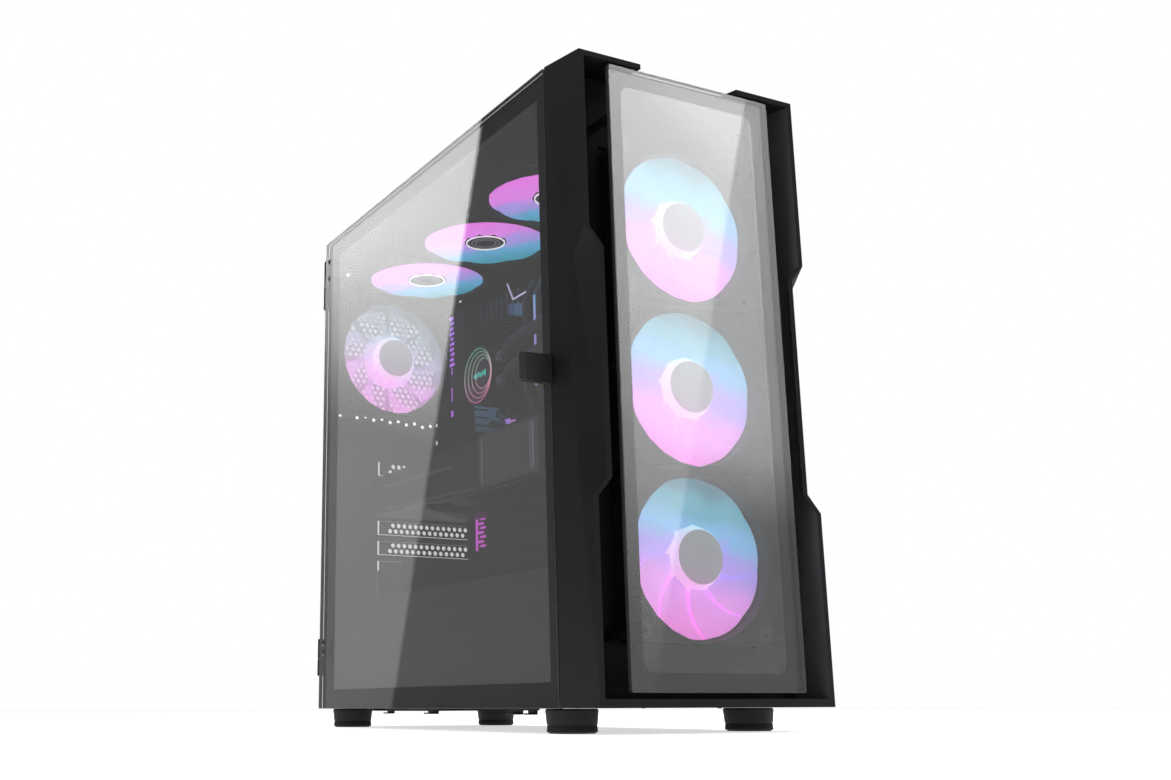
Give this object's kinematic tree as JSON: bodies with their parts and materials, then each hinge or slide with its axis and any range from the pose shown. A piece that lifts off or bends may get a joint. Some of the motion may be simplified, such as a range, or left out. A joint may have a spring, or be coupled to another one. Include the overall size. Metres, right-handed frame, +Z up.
{
  "type": "desktop computer tower",
  "caption": "Mid-size desktop tower with a hinged smoked glass side, a glass front in a pinched black bezel, lit fans, liquid cooler, graphics card and power supply.",
  "frame": {"origin": "middle of the overall footprint (door handle and thumbscrews included), on the desk", "axes": "+X to the right seen from the front, +Y backwards, +Z up"},
  "size_m": [0.2256, 0.4914, 0.49],
  "materials": {
    "black_steel": "fine black powder coat",
    "black_plastic": "fine moulded texture",
    "rubber": "matte",
    "tinted_glass": "smoked tempered glass with a printed black border",
    "fan_blade": "translucent frosted",
    "bare_steel": "satin",
    "board_black": "solder resist",
    "aluminium": "anodised dark grey",
    "filter_mesh": "fine nylon mesh",
    "hose_sleeve": "woven sleeve"
  },
  "bodies": {
    "chassis": {"base_pan": "black_steel", "rear_panel": "black_steel", "rear_fan_grille": "black_steel", "slot_covers": "black_steel", "motherboard_tray": "black_steel", "psu_shroud": "black_steel", "roof": "black_steel", "front_wall": "black_steel", "foot_front_left": "rubber", "foot_front_right": "rubber", "foot_rear_left": "rubber", "foot_rear_right": "rubber", "socket_strip": "black_plastic", "motherboard": "board_black", "memory_1": "aluminium", "memory_2": "aluminium", "io_cover": "black_plastic", "board_heatsink": "aluminium", "pump_head": "black_plastic", "cooler_hose_1": "hose_sleeve", "cooler_hose_2": "hose_sleeve", "radiator": "aluminium", "graphics_card": "black_plastic", "power_supply": "black_steel", "drive_cage": "black_steel", "hard_disk": "aluminium", "front_fan_1_frame": "black_plastic", "front_fan_2_frame": "black_plastic", "front_fan_3_frame": "black_plastic", "top_fan_1_frame": "black_plastic", "top_fan_2_frame": "black_plastic", "top_fan_3_frame": "black_plastic", "rear_fan_frame": "black_plastic"},
    "side_door": {"side_glass": "tinted_glass", "door_handle": "black_plastic", "door_hinge_lower": "black_steel", "door_hinge_upper": "black_steel"},
    "front_panel": {"front_bezel": "black_plastic", "front_glass": "tinted_glass", "glass_carrier": "black_plastic"},
    "right_panel": {"right_side_panel": "black_steel"},
    "lower_thumbscrew": {"thumbscrew_lower": "bare_steel"},
    "upper_thumbscrew": {"thumbscrew_upper": "bare_steel"},
    "roof_filter": {"top_filter": "filter_mesh"},
    "floor_filter": {"psu_filter": "filter_mesh"},
    "front_fan_1_spinner": {"front_fan_1_rotor": "fan_blade"},
    "front_fan_2_spinner": {"front_fan_2_rotor": "fan_blade"},
    "front_fan_3_spinner": {"front_fan_3_rotor": "fan_blade"},
    "top_fan_1_spinner": {"top_fan_1_rotor": "fan_blade"},
    "top_fan_2_spinner": {"top_fan_2_rotor": "fan_blade"},
    "top_fan_3_spinner": {"top_fan_3_rotor": "fan_blade"},
    "rear_fan_spinner": {"rear_fan_rotor": "fan_blade"},
    "card_fan_1_spinner": {"card_fan_1": "black_plastic"},
    "card_fan_2_spinner": {"card_fan_2": "black_plastic"},
    "card_fan_3_spinner": {"card_fan_3": "black_plastic"},
    "psu_fan_spinner": {"psu_fan": "black_plastic"},
    "rocker": {"psu_switch": "black_plastic"},
    "power_key": {"power_button": "bare_steel"},
    "reset_key": {"reset_button": "bare_steel"}
  },
  "joints": [
    {"name": "side_door_swing", "type": "hinge", "parent": "chassis", "child": "side_door", "pos_m": [-0.08425, 0.23995, 0.2], "axis": [0, 0, -1], "range_deg": [0, 110]},
    {"name": "front_panel_pull_off", "type": "slide", "parent": "chassis", "child": "front_panel", "axis": [0, -1, 0], "range_m": [0, 0.06]},
    {"name": "right_panel_slide", "type": "slide", "parent": "chassis", "child": "right_panel", "axis": [0, 1, 0], "range_m": [0, 0.02]},
    {"name": "thumbscrew_lower_turn", "type": "hinge", "parent": "right_panel", "child": "lower_thumbscrew", "pos_m": [0.10575, 0.23775, 0.087], "axis": [0, 1, 0], "continuous": true},
    {"name": "thumbscrew_upper_turn", "type": "hinge", "parent": "right_panel", "child": "upper_thumbscrew", "pos_m": [0.10575, 0.23775, 0.417], "axis": [0, 1, 0], "continuous": true},
    {"name": "roof_filter_lift", "type": "slide", "parent": "chassis", "child": "roof_filter", "axis": [0, 0, 1], "range_m": [0, 0.03]},
    {"name": "floor_filter_slide", "type": "slide", "parent": "chassis", "child": "floor_filter", "axis": [0, 1, 0], "range_m": [0, 0.155]},
    {"name": "front_fan_1_spin", "type": "hinge", "parent": "chassis", "child": "front_fan_1_spinner", "pos_m": [0.01275, -0.21065, 0.12], "axis": [0, -1, 0], "continuous": true},
    {"name": "front_fan_2_spin", "type": "hinge", "parent": "chassis", "child": "front_fan_2_spinner", "pos_m": [0.01275, -0.21065, 0.2435], "axis": [0, -1, 0], "continuous": true},
    {"name": "front_fan_3_spin", "type": "hinge", "parent": "chassis", "child": "front_fan_3_spinner", "pos_m": [0.01275, -0.21065, 0.367], "axis": [0, -1, 0], "continuous": true},
    {"name": "top_fan_1_spin", "type": "hinge", "parent": "chassis", "child": "top_fan_1_spinner", "pos_m": [-0.00185, -0.07655, 0.4633], "axis": [0, 0, -1], "continuous": true},
    {"name": "top_fan_2_spin", "type": "hinge", "parent": "chassis", "child": "top_fan_2_spinner", "pos_m": [-0.00185, 0.04695, 0.4633], "axis": [0, 0, -1], "continuous": true},
    {"name": "top_fan_3_spin", "type": "hinge", "parent": "chassis", "child": "top_fan_3_spinner", "pos_m": [-0.00185, 0.17045, 0.4633], "axis": [0, 0, -1], "continuous": true},
    {"name": "rear_fan_spin", "type": "hinge", "parent": "chassis", "child": "rear_fan_spinner", "pos_m": [-0.01775, 0.22935, 0.369], "axis": [0, -1, 0], "continuous": true},
    {"name": "card_fan_1_spin", "type": "hinge", "parent": "chassis", "child": "card_fan_1_spinner", "pos_m": [0.0196, -0.05055, 0.218], "axis": [0, 0, -1], "continuous": true},
    {"name": "card_fan_2_spin", "type": "hinge", "parent": "chassis", "child": "card_fan_2_spinner", "pos_m": [0.0196, 0.03745, 0.218], "axis": [0, 0, -1], "continuous": true},
    {"name": "card_fan_3_spin", "type": "hinge", "parent": "chassis", "child": "card_fan_3_spinner", "pos_m": [0.0196, 0.12545, 0.218], "axis": [0, 0, -1], "continuous": true},
    {"name": "psu_fan_spin", "type": "hinge", "parent": "chassis", "child": "psu_fan_spinner", "pos_m": [0.01275, 0.15945, 0.0368], "axis": [0, 0, -1], "continuous": true},
    {"name": "psu_rocker_tilt", "type": "hinge", "parent": "chassis", "child": "rocker", "pos_m": [-0.01075, 0.23095, 0.07262], "axis": [1, 0, 0], "range_deg": [0, 10]},
    {"name": "power_button_press", "type": "slide", "parent": "chassis", "child": "power_key", "axis": [0, 0, -1], "range_m": [0, 0.0015], "stiffness_N_per_m": 300, "springref_m": -0.001},
    {"name": "reset_button_press", "type": "slide", "parent": "chassis", "child": "reset_key", "axis": [0, 0, -1], "range_m": [0, 0.0012], "stiffness_N_per_m": 200, "springref_m": -0.001}
  ]
}
